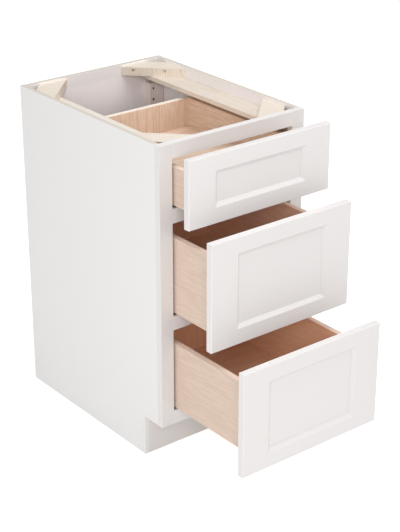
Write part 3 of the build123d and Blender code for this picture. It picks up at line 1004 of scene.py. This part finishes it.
# %% [markdown]
# ### Screws
# Pan-head screws hold the slides, their rear brackets, the corner blocks, the drawer fronts and
# the locking clips. One head is made first: a short cone with its rim rounded and its top inset.
# Four planes cut the inner disc into a cross, and the cross is pushed down for the driver. Only
# heads are made, because the shanks are in the wood.

# %% One screw head as a pattern
HEAD_SIDES = 20
HEAD_HEIGHT = 0.5
TOP_RADIUS = 0.86
RIM_ROUND = 0.14
DRIVE_INSET = 0.16
CROSS_HALF = 0.13
CROSS_DEPTH = 0.26
ON_DISC = 1


def screw_head_pattern():
    """A mesh of a screw head of radius 1 that stands on the XY plane."""
    shape = bmesh.new()
    middle = Matrix.Translation((0, 0, HEAD_HEIGHT / 2))
    bmesh.ops.create_cone(
        shape, cap_ends=True, segments=HEAD_SIDES, radius1=1, radius2=TOP_RADIUS,
        depth=HEAD_HEIGHT, matrix=middle,
    )
    rim = [e for e in shape.edges if min(v.co.z for v in e.verts) > HEAD_HEIGHT / 2]
    round_over(shape, rim, RIM_ROUND, segments=3)
    cap = max(shape.faces, key=lambda face: face.calc_center_median().z)
    bmesh.ops.inset_individual(shape, faces=[cap], thickness=DRIVE_INSET)
    cap.material_index = ON_DISC
    for axis in (Vector((1, 0, 0)), Vector((0, 1, 0))):
        for side in (-CROSS_HALF, CROSS_HALF):
            disc = [face for face in shape.faces if face.material_index == ON_DISC]
            edges = {edge for face in disc for edge in face.edges}
            corners = {vert for face in disc for vert in face.verts}
            parts = [*disc, *edges, *corners]
            bmesh.ops.bisect_plane(shape, geom=parts, plane_co=axis * side, plane_no=axis)
    disc = [face for face in shape.faces if face.material_index == ON_DISC]
    cross = [f for f in disc if min(abs(n) for n in f.calc_center_median().xy) < CROSS_HALF]
    pushed = bmesh.ops.extrude_face_region(shape, geom=cross)["geom"]
    floor_verts = [item for item in pushed if isinstance(item, bmesh.types.BMVert)]
    bmesh.ops.translate(shape, vec=(0, 0, -CROSS_DEPTH), verts=floor_verts)
    for face in shape.faces:
        face.material_index = 0
    mesh = bpy.data.meshes.new("screw_head_pattern")
    shape.to_mesh(mesh)
    shape.free()
    return mesh


screw_head = screw_head_pattern()
print("screw head faces:", len(screw_head.polygons))

# %% [markdown]
# Copying the pattern's mesh is quicker than building every head again. Each copy is turned along
# its screw, and all heads of one kind become one piece. The fixed rail of a slide has an upright
# leg at its front, which two screws hold to the edge of the stile.

# %% Screws of the slides


def copies(pattern, places, size):
    """A bmesh with a copy of a pattern at each place, standing along its direction."""
    shape = bmesh.new()
    for place, direction in places:
        first_new = len(shape.verts)
        shape.from_mesh(pattern)
        shape.verts.ensure_lookup_table()
        turn = Vector(direction).to_track_quat("Z", "Y").to_matrix().to_4x4()
        stand = Matrix.Translation(place) @ turn @ Matrix.Diagonal((*size, 1))
        bmesh.ops.transform(shape, matrix=stand, verts=shape.verts[first_new:])
    return shape


def screws(name, body, places, radius):
    """One piece with a screw head at each place."""
    shape = copies(screw_head, places, (radius, radius, radius))
    return make_piece(shape, name, body, [screw_zinc], smooth=True)


LEG_SCREW_FROM_FRONT = 6.525 * MM
LEG_SCREW_HEIGHTS = (8 * MM, 20 * MM)
LEG_SCREW_RADIUS = 3.6 * MM
for drawer in DRAWERS:
    low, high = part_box(drawer + "_cabinet_rails")
    places = [
        ((side * (high.x - SHEET), low.y + LEG_SCREW_FROM_FRONT, low.z + up), (-side, 0, 0))
        for _, side in HANDS
        for up in LEG_SCREW_HEIGHTS
    ]
    screws(drawer + "_slide_leg_screws", "cabinet", places, LEG_SCREW_RADIUS)
print("screws on the slides' legs:", len(DRAWERS) * len(places))

# %% [markdown]
# At the back, each fixed rail ends in a bracket that a screw holds to the batten. Each corner
# block has two screws, one into the frame or the back and one into the side. They start in round
# pockets, so that their heads sink below the slanted face.

# %% Screws of the rear brackets and the corner blocks
BRACKET_SCREW_X = 180 * MM
BRACKET_SCREW_ABOVE_RAIL = 24 * MM
BRACKET_THICKNESS = 2 * MM
bracket_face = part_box("left_slide_batten")[0].y - BRACKET_THICKNESS
places = []
for drawer in DRAWERS:
    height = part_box(drawer + "_cabinet_rails")[0].z + BRACKET_SCREW_ABOVE_RAIL
    places += [((side * BRACKET_SCREW_X, bracket_face, height), (0, -1, 0)) for _, side in HANDS]
screws("rear_bracket_screws", "cabinet", places, LEG_SCREW_RADIUS)
print("bracket screws:", len(places))

POCKET_DROP = 8 * MM
TO_WALL = (101 * MM, 12 * MM)
TO_SIDE = (28 * MM, 85 * MM)
POCKET_SCREW_RADIUS = 3.5 * MM
places = []
for end, inward in (("front", 1), ("back", -1)):
    for hand, side in HANDS:
        low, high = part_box(f"{end}_{hand}_corner_block")
        wall = low.y if inward > 0 else high.y
        corner = Vector((side * max(abs(low.x), abs(high.x)), wall, high.z))
        for (across, along), direction in ((TO_WALL, (0, inward, 0)), (TO_SIDE, (-side, 0, 0))):
            step = Vector((-side * across, inward * along, -POCKET_DROP))
            places.append((corner + step, direction))
screws("corner_block_screws", "cabinet", places, POCKET_SCREW_RADIUS)
print("block screws:", len(places))

# %% [markdown]
# A drawer front isn't glued to its box, so that it can be lined up with its neighbours and
# replaced. Four screws hold it from inside the box, near the top and the bottom of the board
# behind it.

# %% Screws that hold each drawer front to its box
FRONT_SCREW_X = 110 * MM
FRONT_SCREW_FROM_EDGE = 28 * MM
FRONT_SCREW_RADIUS = 5 * MM
for drawer in DRAWERS:
    low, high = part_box(drawer + "_box_front")
    floor_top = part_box(drawer + "_bottom")[1].z
    places = [
        ((side * FRONT_SCREW_X, high.y, height), (0, 1, 0))
        for _, side in HANDS
        for height in (floor_top + FRONT_SCREW_FROM_EDGE, high.z - FRONT_SCREW_FROM_EDGE)
    ]
    screws(drawer + "_front_screws", drawer, places, FRONT_SCREW_RADIUS)
print("front screws made")

# %% [markdown]
# ### Bumpers
# A bumper is a small soft dome with a flat foot that is glued to the back of a front. A sphere is
# cut at its equator, its open side is filled, and it is squeezed to the bumper's height.

# %% Bumper domes
BUMPER_RADIUS = 4.5 * MM
BUMPER_HEIGHT = 1.95 * MM


def dome_pattern():
    """A mesh of half a ball of radius 1 that stands on the XY plane."""
    shape = bmesh.new()
    bmesh.ops.create_uvsphere(shape, u_segments=20, v_segments=10, radius=1)
    everything = shape.verts[:] + shape.edges[:] + shape.faces[:]
    bmesh.ops.bisect_plane(
        shape, geom=everything, plane_co=(0, 0, 0), plane_no=(0, 0, 1), clear_inner=True
    )
    bmesh.ops.holes_fill(shape, edges=[e for e in shape.edges if e.is_boundary])
    bmesh.ops.recalc_face_normals(shape, faces=shape.faces)
    mesh = bpy.data.meshes.new("dome_pattern")
    shape.to_mesh(mesh)
    shape.free()
    return mesh


dome = dome_pattern()
for drawer in DRAWERS:
    node = drawer + "_bumpers"
    low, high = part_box(node)
    places = [
        ((x, low.y, z), (0, 1, 0))
        for x in (low.x + BUMPER_RADIUS, high.x - BUMPER_RADIUS)
        for z in (low.z + BUMPER_RADIUS, high.z - BUMPER_RADIUS)
    ]
    shape = copies(dome, places, (BUMPER_RADIUS, BUMPER_RADIUS, BUMPER_HEIGHT))
    piece = make_piece(
        shape, drawer + "_bumper_domes", drawer, [bumper_plastic], smooth=True
    )
    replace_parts(piece, node)
print("bumpers:", len(DRAWERS) * len(places))

# %% [markdown]
# ### Locking clips
# Under the front of each drawer sit two plastic catches. Each has a plate on the drawer bottom,
# two cheeks with a bridge at the back, and between them a lever with a ribbed grip. The catch is
# put together from blocks whose edges are then rounded, as a mould would leave them. Each block
# is written as its span across, along and up, in millimetres from the clip's outer front corner.

# %% Blocks of one clip
CLIP_ROUND = 0.9 * MM
RIB_ROUND = 0.6 * MM
PLATE_FOOT = 8.4
PLATE = ((0, 34), (0, 62), (PLATE_FOOT, 11))
CHEEKS = (((2, 11), (2, 50), (0, 9)), ((23, 32), (2, 50), (0, 9)))
BRIDGE = ((8, 26), (42, 50), (0.8, 9))
LEVER = ((12, 22), (1, 41), (2.4, 7))
GRIP_RIBS = [((12, 22), (start, start + 1.6), (1.2, 3.2)) for start in (2.5, 6, 9.5, 13)]
CLIP_SCREWS = ((6.5, 56), (27.5, 56))
CLIP_SCREW_RADIUS = 3 * MM


def clip_corner(node, side, across, along, up):
    """A point of one clip, given in millimetres from its slide, its front end and its foot."""
    low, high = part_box(node)
    return Vector((side * (high.x - across * MM), low.y + along * MM, low.z + up * MM))


def add_block(shape, node, side, spans):
    """Add one block of a clip, given its span in each direction."""
    starts, ends = zip(*spans)
    low, high = clip_corner(node, side, *starts), clip_corner(node, side, *ends)
    size = [abs(high[axis] - low[axis]) for axis in range(3)]
    place = Matrix.Translation((low + high) / 2) @ Matrix.Diagonal((*size, 1))
    bmesh.ops.create_cube(shape, size=1, matrix=place)


def clip_blocks(node, blocks, radius=CLIP_ROUND, segments=3):
    """A bmesh of the same blocks on the left and the right clip, with rounded edges."""
    shape = bmesh.new()
    for _, side in HANDS:
        for spans in blocks:
            add_block(shape, node, side, spans)
    round_over(shape, real_edges(shape), radius, segments)
    return shape


print("ribs on one grip:", len(GRIP_RIBS))

# %% [markdown]
# The plate, cheeks and bridge of a clip are one moulding. The lever is a darker second one that
# carries the ribs of its grip. So each clip has a housing, a lever and a grip as pieces of their
# own, and two screws hold its plate up against the drawer's bottom.

# %% Clips of the three drawers
for drawer in DRAWERS:
    node = drawer + "_locking_clips"
    housing = clip_blocks(node, [PLATE, *CHEEKS, BRIDGE])
    lever = clip_blocks(node, [LEVER])
    ribs = clip_blocks(node, GRIP_RIBS, radius=RIB_ROUND, segments=2)
    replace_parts(make_piece(housing, drawer + "_clip_housings", drawer, [clip_plastic]), node)
    make_piece(lever, drawer + "_clip_levers", drawer, [lever_plastic])
    make_piece(ribs, drawer + "_clip_grips", drawer, [lever_plastic])
    places = [
        (clip_corner(node, side, across, along, PLATE_FOOT), (0, 0, -1))
        for _, side in HANDS
        for across, along in CLIP_SCREWS
    ]
    screws(drawer + "_clip_screws", drawer, places, CLIP_SCREW_RADIUS)
print("clips made")
